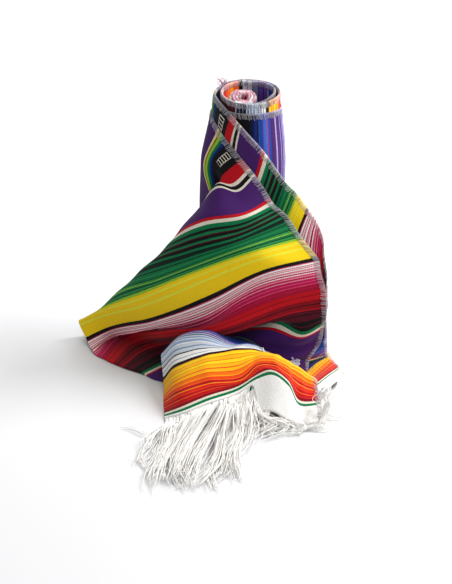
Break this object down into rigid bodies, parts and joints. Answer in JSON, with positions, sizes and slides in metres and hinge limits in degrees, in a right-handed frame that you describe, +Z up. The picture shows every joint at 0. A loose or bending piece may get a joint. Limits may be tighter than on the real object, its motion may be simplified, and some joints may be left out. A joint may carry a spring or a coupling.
{
  "type": "mexican serape",
  "caption": "Striped woven serape, folded lengthwise and rolled up on end, its outer part drawn out over the floor to a white fringed hem",
  "frame": {"origin": "centre of the foot of the roll, on the surface it stands on", "axes": "+Z up along the roll, -Y forward to the fringed hem, +X to the right of someone facing the hem end"},
  "size_m": [0.3424, 0.3954, 0.345],
  "materials": {
    "striped_weave": "matte woven stripes",
    "white_yarn": "soft yarn",
    "edge_thread": "overlocked thread"
  },
  "bodies": {
    "root": {"rolled_cloth": "striped_weave", "draped_cloth": "striped_weave", "end_cloth": "striped_weave", "front_fringe": "white_yarn", "back_fringe": "white_yarn"}
  },
  "joints": []
}
